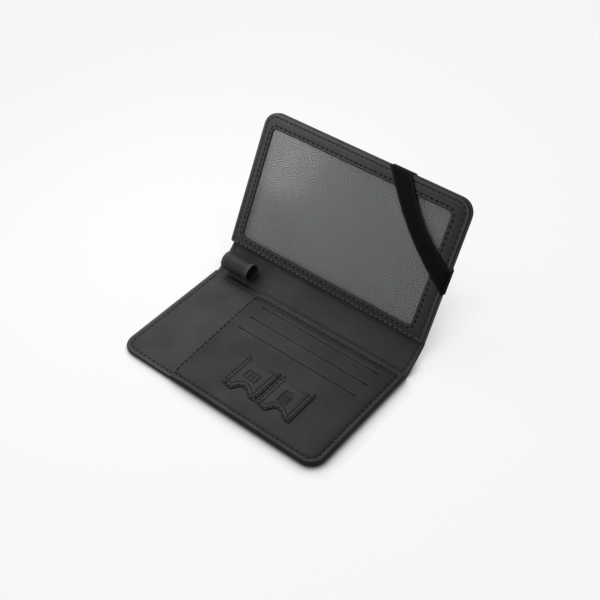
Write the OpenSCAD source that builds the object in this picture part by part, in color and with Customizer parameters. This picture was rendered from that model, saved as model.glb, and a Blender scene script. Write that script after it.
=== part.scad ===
// Folding passport holder: a card panel and a window panel joined by a soft spine, standing half open.
// Millimetres. The origin is the middle of the back cover's outer face, which lies on the table.
// +X runs along the spine, +Y points from the free edge of the card panel to the spine, +Z is up.

/* [Panels] */
// Width of both panels, along the spine
panel_w = 150.5; // [130:0.5:180]
// Card panel, from its free edge to the back crease
back_d = 89; // [84:0.5:110]
// Window panel, from the front crease to its free edge
front_h = 92; // [86:0.5:115]
// Radius of the panels' free corners
corner_r = 9.5; // [6:0.5:14]

/* [Spine] */
// Spine width, from crease to crease
spine_d = 21.5; // [20:0.5:30]
// How far the spine's ends stay inside the panels' ends
spine_inset = 1; // [0.5:0.1:3]
// Slope of the spine as it stands open, degrees
spine_angle = 38; // [20:1:60]
// Slope of the window panel as it stands open, degrees
front_angle = 62.8; // [45:0.2:85]

/* [Layers] */
// Outer leather
cover_t = 0.9; // [0.7:0.05:1.3]
// Stiffening board
board_t = 0.8; // [0.5:0.1:1.5]
// Lining leather
lining_t = 0.45; // [0.3:0.05:0.8]
// Inner leather of the card panel and the window frame
inner_t = 0.85; // [0.6:0.05:1.2]
// Width of the outer leather's turned edge
hem_w = 1; // [0.7:0.1:1.5]
// Running gap between a cover and the spine's rounded edge
crease_gap = 0.25; // [0.2:0.05:0.5]
// How far the inner layers end before a crease
layer_setback = 1.8; // [1.5:0.1:3]

/* [Card panel] */
// Slack of the ticket pocket behind the card panel
ticket_gap = 0.3; // [0.2:0.05:0.6]
// Cloth behind the card pockets
backing_t = 0.2; // [0.15:0.05:0.4]
// Cloth of each card pocket
cloth_t = 0.12; // [0.1:0.02:0.2]
// Room for a card under the panel
card_room = 0.84; // [0.8:0.02:1.2]
// Width of the seam that joins the card panel to the lining
seam_w = 4.4; // [4:0.1:6]
// From the ticket pocket's mouth to the slits, at the free edge
mouth_near = 7.6; // [5:0.1:12]
// From the ticket pocket's mouth to the slits, at the spine
mouth_far = 11.4; // [5:0.1:14]
// Width of the turned hem along the mouth
mouth_hem = 2.5; // [2:0.1:4]
// Length of a card slit
slit_w = 88; // [86:0.5:92]
// Opening of a card slit
slit_gap = 0.7; // [0.5:0.1:1.2]
// From the slits' right ends to the right edge
slit_right = 13.5; // [8:0.5:20]
// From the first slit to the back crease
slit_first = 12.5; // [9:0.5:16]
// Distance from slit to slit
slit_pitch = 11; // [9:0.5:12]
// From the lowest card pocket's floor to the free edge
pocket_floor = 11.3; // [6:0.1:14]

/* [SIM pockets] */
// Width of one patch
sim_w = 24.6; // [20:0.2:28]
// Height of one patch
sim_h = 25; // [20:0.2:28]
// From the patches' right end to the right edge
sim_right = 30.5; // [20:0.5:40]
// From the patches' lower edge to the free edge
sim_low = 15; // [10:0.1:20]
// Gap between the two patches
sim_split = 1.4; // [0.4:0.1:2]
// Leather of a patch
sim_t = 0.6; // [0.4:0.05:0.9]
// Slack inside a patch
sim_gap = 0.4; // [0.3:0.05:0.8]
// Width of a patch's sewn border
sim_seam = 1.8; // [1.2:0.1:3]
// Radius of the thumb notch
notch_r = 5; // [3:0.1:7]
// How far the patch's open edge dips
sim_dip = 1.3; // [0.5:0.1:2.5]

/* [Window panel] */
// Room for a passport between lining and film
passport_room = 2.8; // [2.4:0.1:4]
// Clear film
film_t = 0.2; // [0.15:0.05:0.4]
// How far the film reaches under the frame
film_lap = 2; // [1:0.1:2.2]
// Frame margin on the left
window_left = 8.4; // [6.8:0.1:12]
// Frame margin on the right
window_right = 11; // [7:0.1:16]
// Frame margin at the free edge
window_top = 9.9; // [8:0.1:16]
// Frame margin at the pocket's mouth
window_low = 7; // [5:0.1:12]
// Corner radius of the window
window_r = 3; // [1.5:0.1:5]
// Width of the seam that joins the frame to the lining
frame_seam = 4.6; // [4:0.1:4.7]

/* [Pen loop] */
// Inside radius of the loop
pen_r = 5.2; // [4:0.1:5.4]
// Leather of the loop
loop_t = 0.9; // [0.7:0.05:1]
// Length of the loop along the spine
loop_w = 21.5; // [15:0.5:30]
// From the loop to the spine's left end
loop_in = 5; // [0.5:0.5:12]
// Width of the loop's sewn foot
foot_w = 7; // [5:0.5:9]

/* [Elastic band] */
// Width of the band
band_w = 10.6; // [8:0.1:14]
// Thickness of the band
band_t = 0.9; // [0.6:0.05:1.4]
// Slack between the band and the panel
band_gap = 0.4; // [0.3:0.05:0.6]
// From the panel's square corner to the band's middle line
band_reach = 35; // [28:0.5:40]

/* [Threads] */
// Width of a row of stitches
thread_w = 0.5; // [0.3:0.05:0.8]
// Height of a row of stitches above the leather
thread_h = 0.2; // [0.1:0.05:0.25]
// From the card panel's edge to its stitches
back_stitch = 3.4; // [1.8:0.1:3.8]
// From the window panel's edge to its stitches
front_stitch = 2.8; // [2:0.1:3]
// From the window to its stitches
window_stitch = 2.2; // [1.5:0.1:2.6]
// Length of the tack that ends a card slit
tack_l = 2.4; // [1.5:0.1:3]

/* [Hidden] */
$fn = 64;

leather = "#2c2d2f";
lining_colour = "#242527";
board_colour = "#7b7468";
cloth_colour = "#1c1c1e";
thread_colour = "#0c0c0d";
band_colour = "#121213";
film_colour = [0.85, 0.88, 0.9, 0.35];

// Crease axes lie in the middle of the outer leather
axis_h = cover_t / 2;
cover_end = axis_h + crease_gap;

// Heights of the layers above the outer face
board_top = cover_t + board_t;
lining_top = board_top + lining_t;
backing_z = lining_top + ticket_gap;
cloth_z = backing_z + backing_t;
slit_count = 3;
card_panel_z = cloth_z + slit_count * cloth_t + card_room;
back_top = card_panel_z + inner_t;
film_z = lining_top + passport_room;
frame_z = film_z + film_t;
front_top = frame_z + inner_t;

// Inner layers of the card panel, seen from its free edge
layer_d = back_d - layer_setback;
first_slit_y = back_d - slit_first;
last_slit_y = first_slit_y - (slit_count - 1) * slit_pitch;
slit_x = panel_w - slit_right - slit_w;
cloth_side = 1;
pocket_depth = last_slit_y - pocket_floor;
mouth_near_x = slit_x - mouth_near;
mouth_far_x = slit_x - mouth_far;
sim_x = panel_w - sim_right - 2 * sim_w - sim_split;

// The pen loop stands midway between the folded panels when the holder is shut
loop_r = pen_r + loop_t;
loop_y = (lining_top - axis_h + spine_d - (front_top - axis_h)) / 2;
spine_top = axis_h + lining_t;

// Overlap that keeps cuts clean
cut = 1;

// Places: each takes x from the left edge, y as said, and z from the outer face
// Card panel, y from the free edge
module back_place() {
  translate([-panel_w / 2, -back_d / 2, 0]) children();
}

// Spine, y from the back crease, z from the middle of the leather
module spine_place() {
  translate([-panel_w / 2, back_d / 2, axis_h]) rotate([spine_angle, 0, 0]) children();
}

// Window panel, y from the front crease
module front_place() {
  translate([
    -panel_w / 2,
    back_d / 2 + spine_d * cos(spine_angle),
    axis_h + spine_d * sin(spine_angle)
  ])
    rotate([front_angle, 0, 0]) translate([0, 0, -axis_h]) children();
}

// Outline with round corners at y = 0, drawn in by inset on its three free sides
module leaf(depth, inset = 0) {
  r = corner_r - inset;
  w = panel_w - 2 * inset;
  translate([inset, corner_r]) square([w, depth - corner_r]);
  translate([corner_r, inset]) square([panel_w - 2 * corner_r, corner_r - inset]);
  for (x = [corner_r, panel_w - corner_r]) translate([x, corner_r]) circle(r);
}

// The same outline for the window panel, whose free edge is at the top
module front_leaf(setback, inset = 0) {
  translate([0, front_h]) mirror([0, 1]) leaf(front_h - setback, inset);
}

// Everything on the card side of the ticket pocket's mouth, moved right by shift
module card_side(shift = 0) {
  slope = (mouth_far_x - mouth_near_x) / layer_d;
  low_x = mouth_near_x + shift - slope * cut;
  high_x = mouth_far_x + shift + slope * (layer_setback + cut);
  polygon([
    [low_x, -cut], [panel_w + cut, -cut],
    [panel_w + cut, back_d + cut], [high_x, back_d + cut]
  ]);
}

// Rectangle with round corners
module round_rect(size, r) {
  translate([r, 0]) square([size.x - 2 * r, size.y]);
  translate([0, r]) square([size.x, size.y - 2 * r]);
  for (x = [r, size.x - r], y = [r, size.y - r]) translate([x, y]) circle(r);
}

module window(grow = 0) {
  size = [
    panel_w - window_left - window_right + 2 * grow,
    front_h - layer_setback - window_top - window_low + 2 * grow
  ];
  translate([window_left - grow, layer_setback + window_low - grow])
    round_rect(size, window_r + grow);
}

// Outer leather with its edge turned up round the board
module cover(depth) {
  linear_extrude(cover_t) leaf(depth - cover_end);
  linear_extrude(board_top) difference() {
    leaf(depth - layer_setback);
    leaf(depth - layer_setback + cut, hem_w);
  }
}

module back_cover() {
  color(leather) back_place() cover(back_d);
}

module back_board() {
  color(board_colour) back_place() translate([0, 0, cover_t])
    linear_extrude(board_t) leaf(layer_d, hem_w);
}

module back_lining() {
  color(lining_colour) back_place() translate([0, 0, board_top])
    linear_extrude(lining_t) leaf(layer_d);
}

module ticket_backing() {
  color(cloth_colour) back_place() translate([0, 0, backing_z])
    linear_extrude(backing_t) intersection() {
      leaf(layer_d - seam_w, seam_w);
      card_side();
    }
}

// Cloth of card pocket i, counted from the spine, with the strip that hangs it behind its slit
module card_pocket(i) {
  y = first_slit_y - i * slit_pitch;
  level = cloth_z + i * cloth_t;
  x = slit_x - cloth_side;
  w = slit_w + 2 * cloth_side;
  color(cloth_colour) back_place() {
    translate([x, y - pocket_depth, level]) cube([w, pocket_depth + slit_gap + cloth_t, cloth_t]);
    translate([x, y + slit_gap, level]) cube([w, cloth_t, card_panel_z - level]);
  }
}

module card_pocket_upper() { card_pocket(0); }
module card_pocket_middle() { card_pocket(1); }
module card_pocket_lower() { card_pocket(2); }

module card_panel() {
  color(leather) back_place() {
    difference() {
      translate([0, 0, card_panel_z]) linear_extrude(inner_t) intersection() {
        leaf(layer_d);
        card_side();
      }
      for (i = [0:slit_count - 1])
        translate([slit_x, first_slit_y - i * slit_pitch, card_panel_z - cut])
          cube([slit_w, slit_gap, inner_t + 2 * cut]);
    }
    // Sewn borders that reach down to the lining
    translate([0, 0, lining_top]) linear_extrude(card_panel_z - lining_top) intersection() {
      difference() {
        leaf(layer_d);
        leaf(layer_d - seam_w, seam_w);
      }
      card_side();
    }
    // Turned hem of the ticket pocket's mouth
    translate([0, 0, cloth_z]) linear_extrude(card_panel_z - cloth_z) intersection() {
      leaf(layer_d - seam_w, seam_w);
      difference() {
        card_side();
        card_side(mouth_hem);
      }
    }
  }
}

// One SIM patch with its dipped open edge, thumb notch and slack
module sim_patch(x) {
  dip_r = (pow(sim_w / 2, 2) + pow(sim_dip, 2)) / (2 * sim_dip);
  color(leather) back_place() translate([x, sim_low, back_top]) difference() {
    linear_extrude(sim_gap + sim_t) difference() {
      square([sim_w, sim_h]);
      translate([sim_w / 2, 0]) circle(notch_r);
      translate([sim_w / 2, sim_h - sim_dip + dip_r]) circle(dip_r, $fn = 200);
    }
    translate([sim_seam, notch_r + sim_seam, -cut])
      cube([sim_w - 2 * sim_seam, sim_h, sim_gap + cut]);
  }
}

module sim_pocket_left() { sim_patch(sim_x); }
module sim_pocket_right() { sim_patch(sim_x + sim_w + sim_split); }

// A row of stitches beside the three free sides of a leaf
module edge_row(depth, inset) {
  difference() {
    leaf(depth, inset);
    leaf(depth + cut, inset + thread_w);
  }
}

module back_edge_thread() {
  color(thread_colour) back_place() {
    translate([0, 0, back_top]) linear_extrude(thread_h) intersection() {
      union() {
        edge_row(layer_d - back_stitch, back_stitch);
        translate([0, layer_d - back_stitch - thread_w]) square([panel_w - back_stitch, thread_w]);
      }
      card_side(back_stitch);
    }
    translate([0, 0, lining_top]) linear_extrude(thread_h) difference() {
      edge_row(layer_d - back_stitch, back_stitch);
      card_side(-thread_w);
    }
  }
}

module mouth_thread() {
  color(thread_colour) back_place() translate([0, 0, back_top]) linear_extrude(thread_h)
    intersection() {
      difference() {
        card_side(mouth_hem / 2);
        card_side(mouth_hem / 2 + thread_w);
      }
      translate([0, seam_w]) square([panel_w, layer_d - 2 * seam_w]);
    }
}

module sim_thread() {
  z = back_top + sim_gap + sim_t;
  color(thread_colour) back_place() for (x = [sim_x, sim_x + sim_w + sim_split])
    translate([x, sim_low, z]) for (side = [0, 1])
      translate([side ? sim_w - sim_seam / 2 - thread_w : sim_seam / 2, sim_seam / 2, 0])
        cube([thread_w, sim_h - 2 * sim_dip - sim_seam, thread_h]);
}

module slit_tacks() {
  color(thread_colour) back_place() for (i = [0:slit_count - 1], x = [slit_x, slit_x + slit_w])
    translate([x - thread_w / 2, first_slit_y - i * slit_pitch + (slit_gap - tack_l) / 2, back_top])
      cube([thread_w, tack_l, thread_h]);
}

// Outer leather of the spine, with an edge rounded about each crease
module spine_cover() {
  w = panel_w - 2 * spine_inset;
  color(leather) spine_place() translate([spine_inset, 0, 0]) {
    translate([0, 0, -axis_h]) cube([w, spine_d, cover_t]);
    for (y = [0, spine_d]) translate([0, y, 0]) rotate([0, 90, 0]) cylinder(r = axis_h, h = w);
  }
}

module spine_lining() {
  color(lining_colour) spine_place() translate([spine_inset, cover_end, axis_h])
    cube([panel_w - 2 * spine_inset, spine_d - 2 * cover_end, lining_t]);
}

module pen_loop() {
  color(leather) spine_place()
    translate([spine_inset + loop_in, loop_y, spine_top + loop_r]) difference() {
      union() {
        rotate([0, 90, 0]) cylinder(r = loop_r, h = loop_w);
        translate([0, -foot_w / 2, -loop_r]) cube([loop_w, foot_w, loop_r]);
      }
      translate([-cut, 0, 0]) rotate([0, 90, 0]) cylinder(r = pen_r, h = loop_w + 2 * cut);
    }
}

module front_cover() {
  color(leather) front_place() translate([0, front_h, 0]) mirror([0, 1, 0]) cover(front_h);
}

module front_board() {
  color(board_colour) front_place() translate([0, 0, cover_t])
    linear_extrude(board_t) front_leaf(layer_setback, hem_w);
}

module front_lining() {
  color(lining_colour) front_place() translate([0, 0, board_top])
    linear_extrude(lining_t) front_leaf(layer_setback);
}

module window_film() {
  color(film_colour) front_place() translate([0, 0, film_z]) linear_extrude(film_t) window(film_lap);
}

module window_frame() {
  color(leather) front_place() {
    translate([0, 0, frame_z]) linear_extrude(inner_t) difference() {
      front_leaf(layer_setback);
      window();
    }
    // Sewn borders on three sides; the side at the spine stays open for the passport
    translate([0, 0, lining_top]) linear_extrude(frame_z - lining_top) difference() {
      front_leaf(layer_setback);
      front_leaf(layer_setback - cut, frame_seam);
    }
  }
}

module front_edge_thread() {
  color(thread_colour) front_place() translate([0, 0, front_top]) linear_extrude(thread_h)
    difference() {
      front_leaf(layer_setback + thread_w, front_stitch);
      front_leaf(layer_setback - cut, front_stitch + thread_w);
    }
}

module window_thread() {
  color(thread_colour) front_place() translate([0, 0, front_top]) linear_extrude(thread_h)
    difference() {
      window(window_stitch + thread_w / 2);
      window(window_stitch - thread_w / 2);
    }
}

// A loop across the window panel's right free corner
module elastic_band() {
  inner = [panel_w + band_gap, front_h + band_gap, front_top + 2 * band_gap];
  outer = inner + [band_t, band_t, 2 * band_t];
  color(band_colour) front_place() intersection() {
    difference() {
      translate([0, 0, -band_gap - band_t]) cube(outer);
      translate([-cut, -cut, -band_gap]) cube(inner + [cut, cut, 0]);
    }
    translate([panel_w, front_h, -panel_w / 2]) rotate([0, 0, 45])
      translate([-band_reach - band_w / 2, -panel_w, 0]) cube([band_w, 2 * panel_w, panel_w]);
  }
}

back_cover();
back_board();
back_lining();
ticket_backing();
card_pocket_upper();
card_pocket_middle();
card_pocket_lower();
card_panel();
sim_pocket_left();
sim_pocket_right();
back_edge_thread();
mouth_thread();
sim_thread();
slit_tacks();
spine_cover();
spine_lining();
pen_loop();
front_cover();
front_board();
front_lining();
window_film();
window_frame();
front_edge_thread();
window_thread();
elastic_band();
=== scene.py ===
# %% [markdown]
# A passport holder stands half open on a pale table. Its frame comes from CAD: boards, pocket
# cloths and plain solids for the leather. Here every leather leaf, seam and strap is modelled
# again as the soft thing it is, and most new pieces are parented to an empty named after their
# CAD body.

# %% Load the frame
import math

import bmesh
import bpy
import numpy as np
from mathutils import Matrix, Vector


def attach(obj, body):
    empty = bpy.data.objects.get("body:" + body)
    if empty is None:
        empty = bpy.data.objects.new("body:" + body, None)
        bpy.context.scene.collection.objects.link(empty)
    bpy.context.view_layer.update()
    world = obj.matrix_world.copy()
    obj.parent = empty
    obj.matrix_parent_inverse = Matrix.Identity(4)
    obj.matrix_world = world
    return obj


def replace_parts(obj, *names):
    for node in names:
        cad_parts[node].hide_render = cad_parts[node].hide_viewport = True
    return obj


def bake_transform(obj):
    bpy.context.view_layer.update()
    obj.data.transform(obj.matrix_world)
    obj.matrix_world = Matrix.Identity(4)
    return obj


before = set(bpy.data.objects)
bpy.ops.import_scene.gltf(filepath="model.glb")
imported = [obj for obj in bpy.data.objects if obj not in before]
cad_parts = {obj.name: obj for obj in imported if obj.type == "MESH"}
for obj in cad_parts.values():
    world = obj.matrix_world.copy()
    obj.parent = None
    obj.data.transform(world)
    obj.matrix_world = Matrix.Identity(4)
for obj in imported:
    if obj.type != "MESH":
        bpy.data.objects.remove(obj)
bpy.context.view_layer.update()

# %% [markdown]
# Each leaf is drawn flat in millimetres, as on a cutting table, and put in place at the end.
# The card leaf lies on the table, the spine rises from it at the back crease, and the window
# leaf turns further at the front crease. One matrix for each takes the drawing to its place.

# %% The three leaves and their places
MM = 0.001
LEAF_W = 150.5
CARD_D = 89.0
SPINE_D = 21.5
WINDOW_D = 92.0
CORNER_R = 9.5
AXIS_H = 0.45
SPINE_TURN = math.radians(38.0)
WINDOW_TURN = math.radians(62.8)
MIDDLE = LEAF_W / 2

to_metres = Matrix.Scale(MM, 4)
back_crease = Vector((-MIDDLE, CARD_D / 2, AXIS_H))
spine_place = to_metres @ Matrix.Translation(back_crease) @ Matrix.Rotation(SPINE_TURN, 4, "X")
front_crease = spine_place @ Vector((0, SPINE_D, 0)) / MM
PLACES = {
    "back": to_metres @ Matrix.Translation((-MIDDLE, -CARD_D / 2, 0)),
    "spine": spine_place,
    "front": to_metres @ Matrix.Translation(front_crease)
    @ Matrix.Rotation(WINDOW_TURN, 4, "X") @ Matrix.Translation((0, 0, -AXIS_H)),
}
print("front crease in mm:", [round(v, 2) for v in front_crease])

# %% [markdown]
# Leather rolls at its edges, sinks at its seams and rises between them. A sculptor would push it
# into shape by hand; here a few soft curves say how high the leather stands at each distance
# from an edge, because seams and wear can then be laid by the same numbers.

# %% Soft curves
def smooth(low, high, value):
    """0 below low, 1 above high, and a soft step between."""
    t = np.clip((value - low) / (high - low), 0, 1)
    return t * t * (3 - 2 * t)


def crest(value, middle, width):
    """A soft ridge of height 1."""
    return np.exp(-(((value - middle) / width) ** 2))


def ridges(value, profile):
    """Soft ridges and grooves side by side: each is (height, middle, width)."""
    return sum(height * crest(value, middle, width) for height, middle, width in profile)


def rolled(edge, radius):
    """How far a rolled edge of this radius has dropped at a distance from the edge."""
    t = np.clip(1 - edge / radius, 0, 0.985)
    return radius * (1 - np.sqrt(1 - t * t))


print("a roll of 1 mm has dropped", round(float(rolled(np.array(0.3), 1.0)), 2), "mm at 0.3 mm")

# %% [markdown]
# Leather goods are sheets, so one helper cuts a sheet: a grid whose rows and columns lie close
# together where the leather bends and far apart where it is flat. A Solidify modifier gives it
# its second side, and the points are then moved to the leather's form. A grid was chosen over a
# filled outline because its rows run along every edge and seam.

# %% Cut a sheet
def points_of(piece):
    flat = np.empty(3 * len(piece.data.vertices))
    piece.data.vertices.foreach_get("co", flat)
    return flat.reshape(-1, 3)


def set_points(piece, places):
    piece.data.vertices.foreach_set("co", np.ascontiguousarray(places, float).ravel())
    piece.data.update()


def add(name, make, **settings):
    """Adds a primitive with nothing else selected, and names it."""
    bpy.ops.object.select_all(action="DESELECT")
    make(**settings)
    piece = bpy.context.object
    piece.name = piece.data.name = name
    return piece


def pick(piece):
    """Selects one piece alone, so that the next operator acts on it only."""
    bpy.ops.object.select_all(action="DESELECT")
    piece.select_set(True)
    bpy.context.view_layer.objects.active = piece


def thicken(piece, thickness):
    pick(piece)
    second_side = piece.modifiers.new("second_side", "SOLIDIFY")
    second_side.thickness, second_side.offset = thickness, -1
    bpy.ops.object.modifier_apply(modifier=second_side.name)


def cut_grid(name, xs, ys, slits=()):
    """A flat grid with columns at xs and rows at ys, and the faces in each slit cut out."""
    grid = add(name, bpy.ops.mesh.primitive_grid_add,
               x_subdivisions=len(xs) - 1, y_subdivisions=len(ys) - 1, size=2)
    at = points_of(grid)
    column = np.rint((at[:, 0] + 1) / 2 * (len(xs) - 1)).astype(int)
    row = np.rint((at[:, 1] + 1) / 2 * (len(ys) - 1)).astype(int)
    set_points(grid, np.stack([np.asarray(xs)[column], np.asarray(ys)[row], 0 * row], 1))
    if slits:
        bpy.ops.object.mode_set(mode="EDIT")
        bpy.ops.mesh.select_mode(type="FACE")
        bpy.ops.mesh.select_all(action="DESELECT")
        drawing = bmesh.from_edit_mesh(grid.data)
        for face in drawing.faces:
            x, y, _ = face.calc_center_median()
            face.select_set(any(a < x < b and c < y < d for a, b, c, d in slits))
        bmesh.update_edit_mesh(grid.data)
        bpy.ops.mesh.delete(type="FACE")
        bpy.ops.object.mode_set(mode="OBJECT")
    return grid


def cut_sheet(name, xs, ys, upper, under, slits=()):
    """A two-sided sheet: upper and under give each drawn point's place on the two faces."""
    sheet = cut_grid(name, xs, ys, slits)
    thicken(sheet, 1)
    at = points_of(sheet)
    half = len(at) // 2
    x, y = at[:half, 0], at[:half, 1]
    set_points(sheet, np.concatenate([np.stack(upper(x, y), 1), np.stack(under(x, y), 1)]))
    return sheet


EDGE_ROWS = np.array([0, 0.1, 0.3, 0.6, 1.0, 1.5, 2.0, 2.4, 2.8, 3.2, 3.5, 3.9, 4.6, 5.8, 7.4, 9.5])
NO_ROWS = np.array([0.0])


def lines(low, high, step, near=EDGE_ROWS, far=EDGE_ROWS):
    """Grid lines from low to high, crowded at each end."""
    a, b = low + near[-1], high - far[-1]
    middle = np.linspace(a, b, max(2, round((b - a) / step) + 1))
    return np.concatenate([low + near[:-1], middle, (high - far[:-1])[::-1]])


print("edge rows in mm:", EDGE_ROWS.tolist())

# %% [markdown]
# The leaves have two round corners at their free edge. The drawn sheet is square, so the points
# in each corner square are pulled in to a quarter circle. Every row keeps its distance from the
# edge on the way round, so the rolled edge and the pressed seam line follow the corner.

# %% Round the corners
def corner_square(side, y):
    """Distances towards the corner from its circle's centre, and which points are in the square."""
    a, b = CORNER_R - side, CORNER_R - y
    return a, b, (a > 0) & (b > 0)


def round_leaf(x, y):
    """A drawn point's place on a leaf with round corners at y = 0, and its distance from the edge."""
    side = np.minimum(x, LEAF_W - x)
    edge = np.minimum(side, y)
    a, b, corner = corner_square(side, y)
    pull = np.where(corner, np.maximum(a, b) / np.maximum(np.hypot(a, b), 1e-9), 1.0)
    side = np.where(corner, CORNER_R - a * pull, side)
    y = np.where(corner, CORNER_R - b * pull, y)
    return np.where(x < MIDDLE, side, LEAF_W - side), y, edge


def leaf_edge(x, y):
    """A placed point's distance from a leaf's two sides and its free edge at y = 0."""
    side = np.minimum(x, LEAF_W - x)
    a, b, corner = corner_square(side, y)
    return np.where(corner, CORNER_R - np.hypot(a, b), np.minimum(side, y))


x, y, edge = round_leaf(np.array(0.0), np.array(0.0))
print("the square corner moves to", round(float(x), 2), round(float(y), 2))

# %% [markdown]
# Every finish is a node material. A few short helpers add the nodes that come back again: noise,
# waves, a stretched number, two mixed tones and a bump. The patterns read Object coordinates, so
# each keeps its real size and stays on its piece.

# %% Nodes of a finish
def join(tree, made, inputs):
    """Sets each input of a node, or links it where the value comes from another node."""
    for key, value in inputs.items():
        if isinstance(value, bpy.types.NodeSocket):
            tree.links.new(value, made.inputs[key])
        else:
            made.inputs[key].default_value = value


def node_maker(tree):
    """A helper that adds a node to this tree."""
    def node(kind, inputs=None, **settings):
        made = tree.nodes.new(kind)
        for key, value in settings.items():
            setattr(made, key, value)
        join(tree, made, inputs or {})
        return made

    return node


def new_finish(name):
    """A new material, helpers that add its nodes and feed its shader, and the coordinates."""
    finish = bpy.data.materials.new(name)
    finish.use_nodes = True
    tree = finish.node_tree
    node = node_maker(tree)

    def feed(inputs):
        join(tree, tree.nodes["Principled BSDF"], inputs)

    return finish, node, feed, node("ShaderNodeTexCoord").outputs["Object"]


def ramp(node, value, low, high, to_low, to_high):
    """A number stretched from one range to another."""
    return node("ShaderNodeMapRange", {
        "Value": value, "From Min": low, "From Max": high,
        "To Min": to_low, "To Max": to_high}).outputs["Result"]


def maths(node, operation, *values):
    return node("ShaderNodeMath", dict(enumerate(values)), operation=operation).outputs["Value"]


def noise(node, where, scale, detail=2.0, distortion=0.0):
    return node("ShaderNodeTexNoise", {"Vector": where, "Scale": scale, "Detail": detail,
                                       "Distortion": distortion}).outputs["Fac"]


def waves(node, where, scale, direction, distortion=0.0):
    return node("ShaderNodeTexWave", {"Vector": where, "Scale": scale, "Distortion": distortion},
                bands_direction=direction).outputs["Fac"]


def two_tones(node, share, first, second):
    """One tone that turns into another; a tone is three numbers or comes from a node."""
    tones = [t if isinstance(t, bpy.types.NodeSocket) else (*t, 1) for t in (first, second)]
    return node("ShaderNodeMix", {"Factor": share, "A": tones[0], "B": tones[1]},
                data_type="RGBA").outputs["Result"]


def raised(node, height, strength, distance):
    return node("ShaderNodeBump", {"Height": height, "Strength": strength,
                                   "Distance": distance}).outputs["Normal"]


print("finishes that came with the frame:", len(bpy.data.materials))

# %% [markdown]
# The leather is black and matt with a fine pebbled grain: Voronoi cells of two thirds of a
# millimetre and a finer noise press the surface in, and two slower noises mottle the colour.
# The crowns beside rolled edges are painted paler and smoother, partly as wear and partly as a
# painted highlight, and seam lines are painted darker as painted shade in their grooves. A number
# that each sheet keeps says where that is, from -1 in a seam line or on a black painted edge to 1
# on a pale crown, so the marks follow the real edges.

# %% Leather
GRAIN_DEPTH = 0.00005
PAINTED_GROOVE_SHADE = 0.2
MATT, LESS_MATT = 0.62, 0.50
LEATHER_SHINE = 0.18


def leather(name, colour, worn_and_highlit, grain=1500.0):
    """Leather with its own tone, its paler tone where it is worn and painted with a highlight, and its
    cells per metre.
    """
    finish, node, feed, where = new_finish(name)
    cells = node("ShaderNodeTexVoronoi", {"Vector": where, "Scale": grain}).outputs["Distance"]
    fine = noise(node, where, 2.3 * grain, 3.0)
    slow = noise(node, where, 45.0, 4.0)
    pebble = noise(node, where, 520.0)
    wear_and_painted_light = node("ShaderNodeAttribute", attribute_name="wear_and_painted_light").outputs["Fac"]
    # The darker tone is painted shade for the seam grooves; the paler tone is wear and a painted
    # highlight.
    painted_groove_tone = [PAINTED_GROOVE_SHADE * c for c in colour]
    pale = ramp(node, wear_and_painted_light, 0, 1, 0, 1)
    tone = two_tones(node, ramp(node, wear_and_painted_light, -1, 0, 0, 1), painted_groove_tone, colour)
    tone = two_tones(node, pale, tone, worn_and_highlit)
    for pattern, change in ((slow, 0.08), (pebble, 0.12)):
        shade = ramp(node, pattern, 0.3, 0.7, 1 - change, 1 + change)
        tone = node("ShaderNodeVectorMath", {0: tone, 1: shade}, operation="MULTIPLY").outputs["Vector"]
    dull = ramp(node, slow, 0.3, 0.7, MATT, LESS_MATT)
    relief = maths(node, "MULTIPLY_ADD", fine, 0.5, cells)
    feed({"Base Color": tone, "Roughness": maths(node, "MULTIPLY_ADD", pale, -0.1, dull),
          "Normal": raised(node, relief, 0.55, GRAIN_DEPTH), "Specular IOR Level": LEATHER_SHINE})
    return finish


OUTER_LEATHER = leather("outer_leather", (0.024, 0.025, 0.027), (0.054, 0.056, 0.059))
FRAME_LEATHER = leather("frame_leather", (0.035, 0.036, 0.038), (0.080, 0.082, 0.086))
PANEL_LEATHER = leather("panel_leather", (0.0205, 0.0215, 0.023), (0.062, 0.064, 0.068))
LINING_LEATHER = leather("lining_leather", (0.030, 0.032, 0.033), (0.070, 0.073, 0.075), 1250.0)
for finish in (OUTER_LEATHER, FRAME_LEATHER, PANEL_LEATHER, LINING_LEATHER):
    print(finish.name, len(finish.node_tree.nodes), "nodes")

# %% [markdown]
# A piece that is drawn goes to its place, is shaded softly except at sharp edges, and gets its
# finish. The numbers that a finish reads, such as the wear and the painted highlights and shade,
# are kept on the piece's own points, so that they bend and turn with it.

# %% Dress a piece
SOFT_BELOW = 50


def note(piece, name, values):
    """Keeps a number for each point, for the finishes to read."""
    piece.data.attributes.new(name, "FLOAT", "POINT").data.foreach_set(
        "value", np.ascontiguousarray(values, np.float32))


def keep_wear_and_painted_light(piece, values):
    note(piece, "wear_and_painted_light", np.clip(values, -1, 1))


def paint(piece, finish):
    piece.data.materials.clear()
    piece.data.materials.append(finish)


def dress(piece, finish):
    paint(piece, finish)


def put(piece, place, finish, soft_below=SOFT_BELOW):
    """Takes the drawn piece to its place in metres, with soft shading, and dresses it."""
    piece.data.transform(PLACES[place])
    pick(piece)
    bpy.ops.object.shade_smooth_by_angle(angle=math.radians(soft_below))
    dress(piece, finish)
    print(piece.name, len(piece.data.polygons), "faces")


print("edges under", SOFT_BELOW, "degrees are shaded softly")

# %% [markdown]
# The outer leather is one skin round the whole holder. It bends at two creases, and the skin is
# cut in two along the middle of the spine, so each half bends at one. The spine bows out a little
# between its creases, and the leaves' border seams run on over its ends.

# %% Outline of a skin
SPINE_HALF = SPINE_D / 2
SPINE_INSET = 0.15
SPINE_BOW = 0.8
SPINE_FROM, SPINE_FULL = -2.2, 0.6
BEND_REACH = 2.4
CARD_SEAM, WINDOW_SEAM, SPINE_SEAM = 3.4, 2.8, 3.1
FLAT_STEP = 6.0
CREASE_ROWS = np.array([0, 0.6, 1.2, 1.8, 2.4, 3.2, 4.5])


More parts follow.
